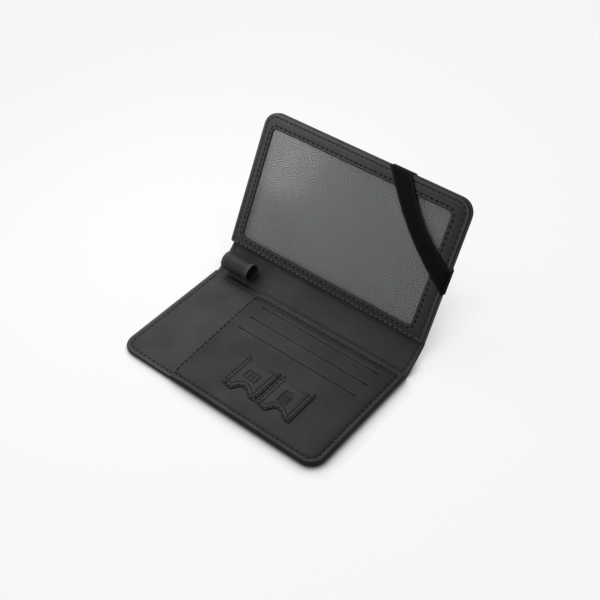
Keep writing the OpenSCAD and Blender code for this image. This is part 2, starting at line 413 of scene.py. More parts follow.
def crease_lines(depth):
    """Rows from the free edge over the crease to the middle of the spine."""
    reach = CREASE_ROWS[-1]
    flat = lines(0, depth - reach, FLAT_STEP, far=NO_ROWS)
    bend = np.concatenate([depth - CREASE_ROWS[:0:-1], depth + CREASE_ROWS])
    rest = np.linspace(depth + reach, depth + SPINE_HALF, 5)[1:]
    return np.concatenate([flat[:-1], bend, rest])


def spine_bow(beyond):
    """How far the spine bows out at a distance beyond its crease."""
    return SPINE_BOW * np.sin(np.clip(beyond / SPINE_HALF, 0, 1) * math.pi / 2)


def skin_outline(x, y, depth, inset=0.0):
    """A point's place, its distance from the edge, 1 on the leaf or 0 on the spine, and its bow."""
    leaf, bow = 1 - smooth(depth + SPINE_FROM, depth + SPINE_FULL, y), spine_bow(y - depth)
    x, y, edge = round_leaf(x, y)
    narrow = inset + SPINE_INSET * (1 - leaf)
    return MIDDLE + (x - MIDDLE) * (1 - 2 * narrow / LEAF_W), y, edge, leaf, bow


def seam_line(y, depth, seam):
    """The border seam's distance from the edge: both leaves' seams meet on the spine."""
    return seam + (SPINE_SEAM - seam) * smooth(depth - 3, depth + SPINE_HALF, y)


print("rows of the card leaf's skin:", len(crease_lines(CARD_D)))

# %% [markdown]
# The skin's rim is turned up round the board, its edge is rolled, and the seam presses a fine
# line into it. The cut edge is painted black. The crown beside it is painted paler, partly as
# wear and partly as a painted highlight, and the seam line is painted darker as painted shade.
# The first half is drawn flat from the card leaf's free edge to the middle of the spine, then folded.

# %% Outer leather of the card leaf
COVER_T = 0.9
RIM_H = 1.7
RIM_IN = (0.9, 1.2)
EDGE_ROLL, SPINE_ROLL = 1.35, 0.4
SEAM_SINK, CREASE_SINK = 0.14, 0.1
CROWN, PAINTED_SEAM_SHADE = 1.1, 0.25
COVER_WEAR_AND_HIGHLIGHT, LINING_WEAR_AND_HIGHLIGHT = 0.3, 0.8


def cover_faces(depth, seam):
    """The two faces of an outer skin whose good side looks down."""
    def inside(x, y):
        x, y, edge, leaf, bow = skin_outline(x, y, depth)
        rim = (1 - smooth(*RIM_IN, edge)) * leaf
        z = COVER_T + (RIM_H - COVER_T) * rim - 0.8 * rolled(edge, SPINE_ROLL) * (1 - leaf)
        return x, y, z - 0.5 * rolled(edge, 0.3) * leaf - bow

    def outside(x, y):
        x, y, edge, leaf, bow = skin_outline(x, y, depth)
        z = leaf * rolled(edge, EDGE_ROLL) + (1 - leaf) * 0.8 * rolled(edge, SPINE_ROLL)
        z = z + SEAM_SINK * leaf * crest(edge, seam, 0.4) + CREASE_SINK * crest(y, depth, 1.0)
        return x, y, z - bow

    return inside, outside


def edge_paint(edge, low=0.2, high=0.7):
    """1 on the painted cut edge and 0 inside it."""
    return 1 - smooth(low, high, edge)


def half_skin(name, depth, seam, faces, wear_and_highlight):
    """Half a skin, from a leaf's free edge to the middle of the spine, with its wear and painted
    highlight on the crown and painted shade in the seam line.
    """
    skin = cut_sheet(name, lines(0, LEAF_W, FLAT_STEP), crease_lines(depth), *faces(depth, seam))
    x, y, _ = points_of(skin).T
    edge, line = leaf_edge(x, y), seam_line(y, depth, seam)
    # Pale crown: wear and a painted highlight; dark seam line: painted shade; black cut edge: edge
    # paint.
    keep_wear_and_painted_light(skin, wear_and_highlight * crest(edge, CROWN, 0.45) - PAINTED_SEAM_SHADE * crest(edge, line, 0.42) - edge_paint(edge))
    return skin


def fold(skin, crease, height, turn):
    """Turns all that lies beyond a crease, little by little over the crease's reach."""
    at = points_of(skin)
    angle = turn * smooth(crease - BEND_REACH, crease + BEND_REACH, at[:, 1])
    y, z = at[:, 1] - crease, at[:, 2] - height
    at[:, 1] = crease + y * np.cos(angle) - z * np.sin(angle)
    at[:, 2] = height + y * np.sin(angle) + z * np.cos(angle)
    set_points(skin, at)


card_cover = half_skin("card_cover_leather", CARD_D, CARD_SEAM, cover_faces, COVER_WEAR_AND_HIGHLIGHT)
fold(card_cover, CARD_D, AXIS_H, SPINE_TURN)
put(card_cover, "back", OUTER_LEATHER)
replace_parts(card_cover, "back_cover", "spine_cover")

# %% [markdown]
# Each crease has a point on each side of it, as far apart as the fold that was just drawn, and the
# span between them is printed.

# %% Span of the back crease
CREASE_SPANS = {
    ("back", "spine"): (PLACES["back"] @ Vector((MIDDLE, CARD_D - BEND_REACH, AXIS_H)),
                        PLACES["spine"] @ Vector((MIDDLE, BEND_REACH, 0))),
    ("spine", "front"): (PLACES["spine"] @ Vector((MIDDLE, SPINE_D - BEND_REACH, 0)),
                         PLACES["front"] @ Vector((MIDDLE, BEND_REACH, AXIS_H))),
}


def bend(skin, a, b):
    start, end = CREASE_SPANS[a, b]
    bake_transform(skin)
    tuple(start)
    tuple(end)
    print(skin.name, "bends over", round((end - start).length / MM, 1), "mm")


bend(card_cover, "back", "spine")

# %% [markdown]
# The window leaf's skin is the same drawing with its own depth. It is drawn from its free edge,
# so it is turned end for end before it is folded: then its rows run up from the spine.

# %% Outer leather of the window leaf
def fold_front(skin):
    """Turns a window leaf's drawing end for end and folds it at the front crease."""
    at = points_of(skin)
    at[:, 0] = LEAF_W - at[:, 0]
    at[:, 1] = SPINE_D + WINDOW_D - at[:, 1]
    at[:, 2] -= AXIS_H
    set_points(skin, at)
    fold(skin, SPINE_D, 0.0, WINDOW_TURN - SPINE_TURN)


window_cover = half_skin("window_cover_leather", WINDOW_D, WINDOW_SEAM, cover_faces, COVER_WEAR_AND_HIGHLIGHT)
fold_front(window_cover)
put(window_cover, "spine", OUTER_LEATHER)
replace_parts(window_cover, "front_cover", "spine_cover")
bend(window_cover, "spine", "front")

# %% [markdown]
# The lining is thinner leather on the inner side. It lies over the board, dips into each crease
# and covers the spine, so it is made as the outer skin is: two halves that meet on the spine.
# On the card leaf it shows left of the ticket pocket, with a bead and a pressed seam line.

# %% Lining
LINING_T = 0.45
LINING_TOP, LINING_LOW = 2.15, 1.35
LINING_INSET = 0.12
LINING_SINK = 0.24
CLEARANCE = 0.02


def lining_faces(depth, seam):
    """The two faces of a lining, which steps down from the board to the spine."""
    def level(y):
        return LINING_LOW + (LINING_TOP - LINING_LOW) * (1 - smooth(depth - 1.7, depth - 0.1, y))

    def top(x, y):
        folds = ridges(y - depth, [(0.2, 2.9, 1.1), (0.12, 7.0 + 1.2 * np.sin(x / 21), 1.6)])
        z, line = level(y), seam_line(y, depth, seam)
        x, y, edge, _, bow = skin_outline(x, y, depth, LINING_INSET)
        z = z + ridges(edge, [(0.12, CROWN, 0.6), (-LINING_SINK, line, 0.45)])
        return x, y, z - 0.75 * rolled(edge, 0.4) + folds * smooth(4.0, 12.0, edge) - bow

    def bottom(x, y):
        z = level(y) - LINING_T + CLEARANCE
        x, y, _, _, bow = skin_outline(x, y, depth, LINING_INSET)
        return x, y, z - bow

    return top, bottom


card_lining = half_skin("card_lining_leather", CARD_D, CARD_SEAM, lining_faces, LINING_WEAR_AND_HIGHLIGHT)
fold(card_lining, CARD_D, AXIS_H, SPINE_TURN)
put(card_lining, "back", LINING_LEATHER)
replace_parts(card_lining, "back_lining", "spine_lining")
bend(card_lining, "back", "spine")

window_lining = half_skin("window_lining_leather", WINDOW_D, WINDOW_SEAM, lining_faces, LINING_WEAR_AND_HIGHLIGHT)
fold_front(window_lining)
put(window_lining, "spine", LINING_LEATHER)
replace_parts(window_lining, "front_lining", "spine_lining")
bend(window_lining, "spine", "front")

# %% [markdown]
# The card panel is the leather with the three slits. It is sewn down on three sides, where it
# sinks to its seam and ends in a rolled bead, and it stands a little full in the middle. Its
# left side is the mouth of the ticket pocket: a turned hem with its own seam. At each slit the
# lip nearer to the free edge stands up a little, as leather does after much use.

# %% Form of the card panel
PANEL_D = 87.2
PANEL_TOP = 4.7
PANEL_UNDER = 3.86
PANEL_THINNEST = 0.25
SEAM_DROP, MOUTH_DROP = 0.6, 0.9
HEM_RISE, HEM_SINK = 0.22, 0.28
MOUTH_NEAR, MOUTH_FAR = 41.4, 37.6
MOUTH_SEAM = 1.25
SLIT_X0, SLIT_X1 = 49.0, 137.0
SLIT_GAP = 1.0
SLIT_Y = (76.5, 65.5, 54.5)
LIP_RISE, LIP_DIP = 0.22, 0.38
PANEL_RELIEF = [(0.16, 1.25, 0.7), (-0.32, CARD_SEAM, 0.45)]


def mouth(y):
    """The ticket pocket's mouth runs a little aslant."""
    return MOUTH_NEAR + (MOUTH_FAR - MOUTH_NEAR) * np.clip(y / PANEL_D, 0, 1)


def panel_edge(x, y):
    """Distance of a placed point from the card panel's three sewn sides."""
    return np.minimum(leaf_edge(np.maximum(x, MIDDLE), y), PANEL_D - y)


def panel_top(x, y):
    """Height of the card panel's good side."""
    edge, hem = panel_edge(x, y), x - mouth(y)
    z = PANEL_TOP - SEAM_DROP * (1 - smooth(1.6, 8.5, edge)) + ridges(edge, PANEL_RELIEF)
    z = z - MOUTH_DROP * (1 - smooth(0.5, 9.0, hem)) * (1 - smooth(2.0, 9.0, edge))
    z = z + HEM_RISE * (1 - smooth(2.2, 3.4, hem)) - HEM_SINK * crest(hem, MOUTH_SEAM, 0.42)
    along = smooth(SLIT_X0 - 2.5, SLIT_X0 + 4, x) * (1 - smooth(SLIT_X1 - 4, SLIT_X1 + 2.5, x))
    for slit in SLIT_Y:
        near_lip = y <= slit + 1e-6
        lip = LIP_RISE * np.exp(-np.abs(slit - y) / 2.0) * near_lip
        dip = LIP_DIP * np.exp(-np.abs(y - slit - SLIT_GAP) / 1.4) * ~near_lip
        z = z + along * (lip - dip)
    return z - rolled(edge, 1.15) - rolled(np.maximum(hem, 0), 0.7)


def panel_under(x, y):
    """The under side: down on the lining in the seams, free of the pocket cloths elsewhere."""
    sewn = 1 - smooth(2.9, 4.2, panel_edge(x, y))
    return PANEL_UNDER * (1 - sewn) + (LINING_TOP + CLEARANCE) * sewn


print("height at the middle and in the seam:",
      [round(float(panel_top(np.array([a]), np.array([b]))[0]), 2) for a, b in ((100, 30), (100, 2.3))])

# %% [markdown]
# The rows are crowded at the slits' lips and at the edges. The columns at the mouth slide with
# its slanted hem, and the faces inside each slit are cut out before the sheet gets its thickness,
# so every slit is a real opening that goes down to the pocket cloth.

# %% Cut the card panel
LIP_ROWS = np.array([-3.6, -2.6, -1.8, -1.2, -0.7, -0.35, -0.12, 0])
HEM_ROWS = np.array([0, 0.08, 0.2, 0.4, 0.7, 1.0, 1.3, 1.6, 2.0, 2.6, 3.5])
SLIT_ENDS = np.array([0.2, 0.6, 1.4])
ROW_GAP, PANEL_STEP = 0.3, 4.0
lip_lines = [np.sort(np.concatenate([s + LIP_ROWS, s + SLIT_GAP - 0.7 * LIP_ROWS])) for s in SLIT_Y]
plain = [y for y in lines(0, PANEL_D, PANEL_STEP)
         if all(y < rows[0] - ROW_GAP or y > rows[-1] + ROW_GAP for rows in lip_lines)]
panel_rows = np.sort(np.concatenate([plain, *lip_lines]))
panel_columns = np.concatenate([
    MOUTH_NEAR + HEM_ROWS, SLIT_X0 - SLIT_ENDS[::-1], np.linspace(SLIT_X0, SLIT_X1, 30),
    SLIT_X1 + SLIT_ENDS, LEAF_W - EDGE_ROWS[::-1]])


def place_panel(x, y):
    """Slides the mouth's columns to the slanted hem and rounds the corner."""
    slide = 1 - smooth(MOUTH_NEAR + HEM_ROWS[-1], SLIT_X0 - SLIT_ENDS[0], x)
    x, y, _ = round_leaf(x, y)
    return x + slide * (mouth(y) - MOUTH_NEAR), y


def panel_upper(x, y):
    x, y = place_panel(x, y)
    return x, y, panel_top(x, y)


def panel_lower(x, y):
    x, y = place_panel(x, y)
    return x, y, np.minimum(panel_under(x, y), panel_top(x, y) - PANEL_THINNEST)


card_panel = cut_sheet("card_panel_leather", panel_columns, panel_rows, panel_upper, panel_lower,
                       [(SLIT_X0, SLIT_X1, s, s + SLIT_GAP) for s in SLIT_Y])
x, y, _ = points_of(card_panel).T
edge, hem = panel_edge(x, y), x - mouth(y)
# The slit lips and the crowns by the edge and the hem are painted paler, partly as wear and partly as a
# painted highlight, and the seam lines are painted darker as painted shade.
lips = sum(crest(y, s - 0.1, 0.35) for s in SLIT_Y) * (x > SLIT_X0) * (x < SLIT_X1)
keep_wear_and_painted_light(card_panel, ridges(edge, [(0.8, 1.15, 0.4), (-PAINTED_SEAM_SHADE, CARD_SEAM, 0.42)])
         + ridges(hem, [(0.9, 0.2, 0.5), (-0.35, MOUTH_SEAM, 0.45)]) + 0.5 * lips - edge_paint(edge))
put(card_panel, "back", PANEL_LEATHER)
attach(card_panel, "back")
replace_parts(card_panel, "card_panel")

# %% [markdown]
# Two small leather patches are pockets of their own. The lower side of each is a wave with a
# round thumb notch, a pressed ridge follows the notch, ribs run down both sides, and the mouth
# at the top dips a little. The wave is drawn by a few points and softened by a moving average.

# %% Outline of the patches
PATCH_W, PATCH_HIGH = 24.6, 40.0
PATCH_DIP = 1.3
PATCH_X = {"left": 69.4, "right": 95.4}
WAVE = np.array([(0, 15.2), (2.6, 14.8), (5.0, 14.0), (7.2, 13.7), (8.9, 14.9), (10.0, 17.3),
                 (11.2, 19.1), (13.2, 19.5), (15.8, 18.6), (18.6, 16.3), (21.3, 15.1), (24.6, 15.2)])
SOFTEN = 45
wave_x = np.linspace(0, PATCH_W, 400)
wave_y = np.pad(np.interp(wave_x, WAVE[:, 0], WAVE[:, 1]), SOFTEN // 2, mode="edge")
wave_y = np.convolve(wave_y, np.hanning(SOFTEN) / np.hanning(SOFTEN).sum(), mode="valid")


def patch_span(x):
    """Lower and upper end of a patch at a distance from its left side."""
    low = np.interp(x, wave_x, wave_y)
    return low, PATCH_HIGH - PATCH_DIP * (1 - ((x - PATCH_W / 2) / (PATCH_W / 2)) ** 2)


def patch_edges(x, y):
    """Distances of points on a patch from its sides, its wave and its mouth."""
    gap = np.hypot(x[:, None] - wave_x[None, ::4], y[:, None] - wave_y[None, ::4])
    return np.minimum(x, PATCH_W - x), gap.min(1), patch_span(x)[1] - y


print("the notch is", round(float(np.ptp(wave_y)), 1), "mm high")

# %% [markdown]
# A plain sign is pressed into each patch: a contact pad on the left one, and on the right one a
# plate with a clipped corner and a smaller pad. They are pressed into the mesh itself, by the
# distance of each point from the sign's lines, so they also show in the bare shape.

# %% Form of the patches
PATCH_T, PATCH_GAP = 0.78, 0.03
MARK_Y, MARK_DEPTH = 28.7, 0.40
SIDE_RELIEF = [(-0.26, 1.0, 0.4), (0.16, 2.2, 0.4), (-0.30, 3.1, 0.36)]
WAVE_RELIEF = [(-0.26, 1.0, 0.4), (0.18, 2.2, 0.45), (-0.30, 3.3, 0.36)]


def box_edge(x, y, half_w, half_h):
    return np.maximum(np.abs(x) - half_w, np.abs(y) - half_h)


def pressed_plate(x, y):
    """A sunk plate with a clipped corner, on which a contact pad and its bars stand out."""
    plate = np.maximum(box_edge(x, y, 3.7, 4.6), (x + y - 6.0) / math.sqrt(2))
    pad = box_edge(x + 0.2, y + 1.0, 2.0, 1.7)
    bars = np.minimum(np.abs(x + 0.2), np.abs(y + 1.0))
    raised_lines = np.maximum(crest(pad, 0, 0.28), 0.8 * crest(bars, 0, 0.24) * (pad < 0))
    return (1 - smooth(-0.3, 0.25, plate)) * (1 - 0.75 * raised_lines)


def pressed_pad(x, y):
    """A contact pad alone."""
    pad = box_edge(x, y, 4.4, 3.1)
    bars = np.minimum(np.abs(np.abs(x) - 1.5), np.abs(y))
    return np.maximum(crest(pad, 0, 0.3), 0.85 * crest(bars, 0, 0.25) * (pad < 0))


MARKS = {"left": pressed_pad, "right": pressed_plate}


def mark_at(side, x, y):
    return MARKS[side](x - PATCH_W / 2, y - MARK_Y)


def patch_top(side, x, y):
    """Height of a patch's good side above the card panel."""
    rim, wave, lip = patch_edges(x, y)
    sewn = np.minimum(rim, wave)
    z = PATCH_T + 0.16 * smooth(2.0, 6.0, sewn) + ridges(rim, SIDE_RELIEF) + ridges(wave, WAVE_RELIEF)
    z = z - 0.12 * crest(lip, 1.7, 0.4) + 0.18 * (1 - smooth(0.0, 6.0, lip)) * smooth(2.5, 8.0, rim)
    return z - MARK_DEPTH * mark_at(side, x, y) - 0.8 * rolled(np.minimum(sewn, lip), 0.4)


sign_x, sign_y = np.array([PATCH_W / 2, PATCH_W / 2 + 3.0]), np.array([MARK_Y + 2.0, MARK_Y - 3.5])
print("heights on the right patch's sign:", patch_top("right", sign_x, sign_y).round(2).tolist())

# %% [markdown]
# Each patch is cut as a sheet whose rows are stretched between its wave and its mouth. The grid
# is fine, because the sign and the ribs are narrow.

# %% Cut the patches
PATCH_ROWS = np.array([0, 0.06, 0.2, 0.4])
PATCH_STEP = 0.36
PATCH_D = 25.0


def make_patch(side):
    across = lines(0, PATCH_W, PATCH_STEP, PATCH_ROWS, PATCH_ROWS)
    up = lines(0, PATCH_D, PATCH_STEP, PATCH_ROWS, PATCH_ROWS) / PATCH_D

    def upper(x, v):
        low, high = patch_span(x)
        y = low + v * (high - low)
        return x + PATCH_X[side], y, PANEL_TOP + patch_top(side, x, y)

    def under(x, v):
        low, high = patch_span(x)
        return x + PATCH_X[side], low + v * (high - low), np.full_like(x, PANEL_TOP + PATCH_GAP)

    patch = cut_sheet("sim_patch_" + side, across, up, upper, under)
    x, y, _ = points_of(patch).T
    x = x - PATCH_X[side]
    rim, wave, lip = patch_edges(x, y)
    # The ribs between the seams are painted paler as a painted highlight, the seam grooves and the
    # patch's edge are painted darker as painted shade, and the pressed sign is painted darker too.
    groove_shade_and_dark_sign = np.maximum.reduce([
        0.1 * crest(rim, 1.0, 0.4), crest(rim, 3.1, 0.4), crest(rim, 0.0, 0.35),
        0.1 * crest(wave, 1.0, 0.4), crest(wave, 3.3, 0.4), crest(wave, 0.0, 0.35),
        crest(lip, 1.5, 0.4), mark_at(side, x, y)])
    keep_wear_and_painted_light(patch, 0.6 * np.maximum(crest(rim, 2.1, 0.4), crest(wave, 2.2, 0.4)) - groove_shade_and_dark_sign)
    put(patch, "back", PANEL_LEATHER)
    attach(patch, "back")
    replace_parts(patch, "sim_pocket_" + side)


make_patch("left")
make_patch("right")

# %% [markdown]
# The window frame is a ring of leather, so it is drawn as rows of round-cornered loops from its
# outer edge to the window. Each row is extruded from the last one and moved to its own offset
# and height. A boolean cut would leave long thin faces at the corners; the rows keep them clean.
# Extruding numbers new points in no fixed order, so they are numbered by their place at the end,
# and every run gives the same mesh.

# %% Rows of loops
def corner_loop(x0, x1, y0, y1, radii, steps=10):
    """A loop with four round corners, from the lower left one anticlockwise."""
    turns = np.linspace(0, math.pi / 2, steps)
    out = []
    for i, (x, y) in enumerate(((x0, y0), (x1, y0), (x1, y1), (x0, y1))):
        r = radii[i]
        cx, cy = x + (r if x == x0 else -r), y + (r if y == y0 else -r)
        a = math.pi + i * math.pi / 2 + turns
        out.append(np.stack([cx + r * np.cos(a), cy + r * np.sin(a)], 1))
    return np.concatenate(out)


def close_seams():
    """Leaves edit mode with doubled points merged and all faces turned outwards."""
    bpy.ops.mesh.select_all(action="SELECT")
    bpy.ops.mesh.remove_doubles(threshold=1e-4)
    bpy.ops.mesh.normals_make_consistent(inside=False)
    bpy.ops.object.mode_set(mode="OBJECT")


def number_by_place(piece):
    """Numbers a mesh's points and faces by their place."""
    by_place = Vector((1.0, 31.7, 1013.9))
    drawing = bmesh.from_edit_mesh(piece.data)
    drawing.verts.sort(key=lambda vert: vert.co.dot(by_place))
    drawing.faces.sort(key=lambda face: face.calc_center_median().dot(by_place))
    bmesh.update_edit_mesh(piece.data)


def loft(name, rows):
    """Extrudes a loop row by row and joins the last row to the first."""
    count = len(rows[0])
    piece = add(name, bpy.ops.mesh.primitive_circle_add, vertices=count, radius=1)
    set_points(piece, rows[0])
    bpy.ops.object.mode_set(mode="EDIT")
    bpy.ops.mesh.select_all(action="SELECT")
    order = {i: i for i in range(count)}
    for row in rows[1:] + rows[:1]:
        bpy.ops.mesh.extrude_edges_move()
        drawing = bmesh.from_edit_mesh(piece.data)
        drawing.verts.index_update()
        fresh = {}
        for vert in drawing.verts:
            if vert.select:
                old = next(e.other_vert(vert) for e in vert.link_edges
                           if not e.other_vert(vert).select)
                fresh[vert.index] = order[old.index]
                vert.co = row[order[old.index]]
        order = fresh
        bmesh.update_edit_mesh(piece.data)
    number_by_place(piece)
    close_seams()
    return piece


print("a loop has", len(corner_loop(0, 10, 0, 10, [2] * 4)), "points")

# %% [markdown]
# Two profiles say how the frame's leather runs: one rolls its outer edge and presses the outer
# seam line, the other follows the window, presses the ring seam and turns the window's edge in.
# Along the lower side the frame stays open, because the pocket is filled from there.

# %% Window frame
FRAME_LOW, LOW_CORNER_R = 1.8, 1.6
WINDOW = (8.4, 139.5, 8.8, 82.1)
WINDOW_R = 3.0
RING_SEAM = 2.1
FRAME_UNDER = 5.16
OUTER_PROFILE = [(0.3, 2.2), (0, 2.35), (0, 4.6), (0.1, 4.95), (0.35, 5.27), (0.75, 5.46), (1.3, 5.54),
                 (1.9, 5.50), (2.4, 5.36), (2.8, 5.27), (3.1, 5.38), (3.4, 5.56)]
WINDOW_PROFILE = [(3.3, 5.74), (2.7, 5.76), (2.4, 5.68), (2.1, 5.58), (1.8, 5.68), (1.4, 5.80),
                  (0.9, 5.82), (0.5, 5.74), (0.2, 5.56), (0.03, 5.36), (0, 5.18), (2.0, FRAME_UNDER)]
SEWN_PROFILE = [(4.4, FRAME_UNDER), (4.4, 2.2)]


def level_row(path, z):
    """A flat line of points at one height."""
    return np.column_stack([path, np.full(len(path), z)])


def outer_loop(inset, z):
    low_r, high_r = max(LOW_CORNER_R - 0.5 * inset, 0.5), max(CORNER_R - inset, 0.6)
    flat = corner_loop(inset, LEAF_W - inset, FRAME_LOW + inset, WINDOW_D - inset,
                       (low_r, low_r, high_r, high_r))
    open_side = flat[:, 1] < FRAME_LOW + inset + 0.9
    return np.column_stack([flat, np.where(open_side, max(z, FRAME_UNDER - 0.1), z)])


def window_loop(grow, z):
    x0, x1, y0, y1 = WINDOW
    return level_row(corner_loop(x0 - grow, x1 + grow, y0 - grow, y1 + grow, [WINDOW_R + grow] * 4), z)


window_frame = loft("window_frame_leather",
                    [outer_loop(*p) for p in OUTER_PROFILE]
                    + [window_loop(*p) for p in WINDOW_PROFILE]
                    + [outer_loop(*p) for p in SEWN_PROFILE])
x, y, z = points_of(window_frame).T
x0, x1, y0, y1 = WINDOW
beyond = np.stack([np.abs(x - (x0 + x1) / 2) - (x1 - x0) / 2,
                   np.abs(y - (y0 + y1) / 2) - (y1 - y0) / 2]) + WINDOW_R
to_window = np.hypot(*np.maximum(beyond, 0)) + np.minimum(beyond.max(0), 0) - WINDOW_R
to_edge = np.minimum(leaf_edge(x, WINDOW_D - y), y - FRAME_LOW)
good_side = z > FRAME_UNDER + 0.1
# The crowns by the outer edge and by the window are painted paler, partly as wear and partly as a
# painted highlight, and the seam lines are painted darker as painted shade. The black edge paint along
# the window is widened into a painted shadow line between frame and film.
keep_wear_and_painted_light(window_frame, good_side * (
    ridges(to_edge, [(0.8, 1.2, 0.45), (-PAINTED_SEAM_SHADE, WINDOW_SEAM, 0.45)])
    + ridges(to_window, [(0.4, 1.1, 0.5), (-PAINTED_SEAM_SHADE, RING_SEAM, 0.4)]))
    - edge_paint(to_edge) - edge_paint(np.abs(to_window), 0.4, 1.1))
put(window_frame, "front", FRAME_LEATHER)
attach(window_frame, "front")
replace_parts(window_frame, "window_frame")

# %% [markdown]
# A clear film fills the window. Soft plastic film is never quite flat, so the sheet swells a
# little and has slow waves: the light then lies on it as a soft glare. The finish lets nearly all
# light through, with a faint haze from handling. The film casts no shadow of its own, because
# the lining behind it would then be lit only by chance rays and look grainy.

# %% Film
def clear_film():
    finish, node, feed, where = new_finish("clear_film")
    haze = noise(node, where, 30.0, 5.0)
    feed({"Roughness": ramp(node, haze, 0.35, 0.7, 0.10, 0.14), "Base Color": (0.95, 0.96, 0.97, 1),
          "Transmission Weight": 0.97, "IOR": 1.22})
    return finish


FILM_LAP, FILM_Z, FILM_T = 2.0, 4.94, 0.2
FILM_SWELL = 0.28
FILM_WAVES = ((0.05, 9, 4), (0.04, 5, -11))
FILM_X = (WINDOW[0] - FILM_LAP, WINDOW[1] + FILM_LAP)
FILM_Y = (WINDOW[2] - FILM_LAP, WINDOW[3] + FILM_LAP)


def film_face(level):
    """One face of the film, which lies at this level along its sewn edge."""
    def face(x, y):
        u, v = (x - FILM_X[0]) / np.ptp(FILM_X), (y - FILM_Y[0]) / np.ptp(FILM_Y)
        swell = np.clip(np.sin(math.pi * u) * np.sin(math.pi * v), 0, 1) ** 0.7
        slow_waves = sum(h * np.sin(a * u + b * v) for h, a, b in FILM_WAVES)
        return x, y, level + swell * (FILM_SWELL + slow_waves)

    return face


film = cut_sheet("window_film_sheet", np.linspace(*FILM_X, 60), np.linspace(*FILM_Y, 36),
                 film_face(FILM_Z + FILM_T), film_face(FILM_Z))
put(film, "front", clear_film())
film.visible_shadow = False
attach(film, "front")
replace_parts(film, "window_film")

# %% [markdown]
# The pen loop is a leather strap sewn to the spine. Its section is a ring that runs out into a
# foot, and its two edges are rounded, so it is lofted from loops: round the first edge into the
# bore, along the bore, round the other edge, and back along the outer side.

# %% Pen loop
LOOP_X0, LOOP_X1 = 6.0, 27.5
LOOP_MIDDLE = (8.825, 7.0)
BORE_R, STRAP_R, FOOT_HALF = 5.2, 6.1, 3.6
FOOT_FROM = 4.2
SPINE_FACE = 0.9
LOOP_EDGE = ((0.5, 1), (0.22, 0.94), (0.06, 0.8), (0, 0.5), (0.06, 0.2), (0.22, 0.06), (0.5, 0))
LOOP_FLAT = 3.0


def strap_loop(x, share):
    """The strap's outline at x: share 0 is the bore and share 1 the outer side."""
    turn = np.linspace(0, 2 * math.pi, 49)[:-1] - math.pi / 2
    around = np.stack([np.cos(turn), np.sin(turn)], 1)
    inner, outer = BORE_R * around, STRAP_R * around
    foot = np.clip((-outer[:, 1] - FOOT_FROM) / (STRAP_R - FOOT_FROM), 0, 1)
    reach = np.sign(outer[:, 0]) * np.minimum(np.abs(outer[:, 0]) * 1.25, FOOT_HALF)
    reach = np.where(np.abs(outer[:, 0]) < FOOT_HALF, reach, outer[:, 0])
    outer[:, 0] = outer[:, 0] * (1 - foot) + reach * foot
    section = inner + share * (outer - inner)
    section[:, 1] = np.maximum(section[:, 1], SPINE_FACE - LOOP_MIDDLE[1] + CLEARANCE)
    return np.column_stack([np.full(len(turn), x), section + np.array(LOOP_MIDDLE)])


flat_x = np.linspace(LOOP_X0 + LOOP_FLAT, LOOP_X1 - LOOP_FLAT, 4)
pen_loop = loft("pen_loop_leather",
                [strap_loop(LOOP_X0 + d, share) for d, share in LOOP_EDGE]
                + [strap_loop(x, 0) for x in flat_x]
                + [strap_loop(LOOP_X1 - d, share) for d, share in LOOP_EDGE[::-1]]
                + [strap_loop(x, 1) for x in flat_x[::-1]])
x = points_of(pen_loop)[:, 0]
keep_wear_and_painted_light(pen_loop, 1 - smooth(0.1, 1.4, np.minimum(x - LOOP_X0, LOOP_X1 - x)))
put(pen_loop, "spine", PANEL_LEATHER)
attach(pen_loop, "spine")
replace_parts(pen_loop, "pen_loop")

# %% [markdown]
# A flat woven elastic goes aslant round the free corner of the window leaf and keeps the holder
# shut. A grid is wrapped round the leaf: its columns run along the strap and its rows across it.
# The strap turns round both edges of the leaf in a tight curve, bows in a little where it spans
# the window, and has a firm selvage with a fine line along each side.

# %% Elastic strap
STRAP_IN, STRAP_OUT = 185.5, 200.5
STRAP_T = 0.45
STRAP_FRONT, STRAP_BACK = 6.55, -0.85
STRAP_X, STRAP_Y = LEAF_W + 0.52, WINDOW_D + 0.52
TURN_R = 1.3
STRAP_BOW, STRAP_LIFT = 2.8, 0.3
STRAP_SOFT_BELOW = 40
SELVAGE = 0.085
STRAP_ROWS = np.array([0, 0.01, 0.03, 0.05, 0.07, 0.085, 0.1, 0.12])


def strap_path(c):
    """Points along one cord of the strap, on the line x + y = c, right round the leaf."""
    arc = np.linspace(0, math.pi / 2, 6)[1:-1]
    turn = list(zip(TURN_R * np.sin(arc), TURN_R * np.cos(arc)))
    fx, fy = STRAP_X - TURN_R, STRAP_Y - TURN_R
    zf, zb = STRAP_FRONT, STRAP_BACK
    front = np.linspace(c - fy, fx, 24)
    sides = np.linspace(zf - TURN_R, zb + TURN_R, 5)
    inward = np.sin(np.linspace(0, math.pi, len(front)))
    path = [(x - STRAP_BOW * b, c - x - STRAP_BOW * b, zf + STRAP_LIFT * b)
            for x, b in zip(front, inward)]
    path += [(fx + s, c - fx - s, zf - TURN_R + r) for s, r in turn]
    path += [(STRAP_X, c - STRAP_X, z) for z in sides]
    path += [(fx + r, c - fx - r, zb + TURN_R - s) for s, r in turn]
    path += [(x, c - x, zb) for x in front[::-1]]
    path += [(c - fy - s, fy + s, zb + TURN_R - r) for s, r in turn]
    path += [(c - STRAP_Y, STRAP_Y, z) for z in sides[::-1]]
    path += [(c - fy - r, fy + r, zf - TURN_R + s) for s, r in turn]
    return np.array(path + path[:1])


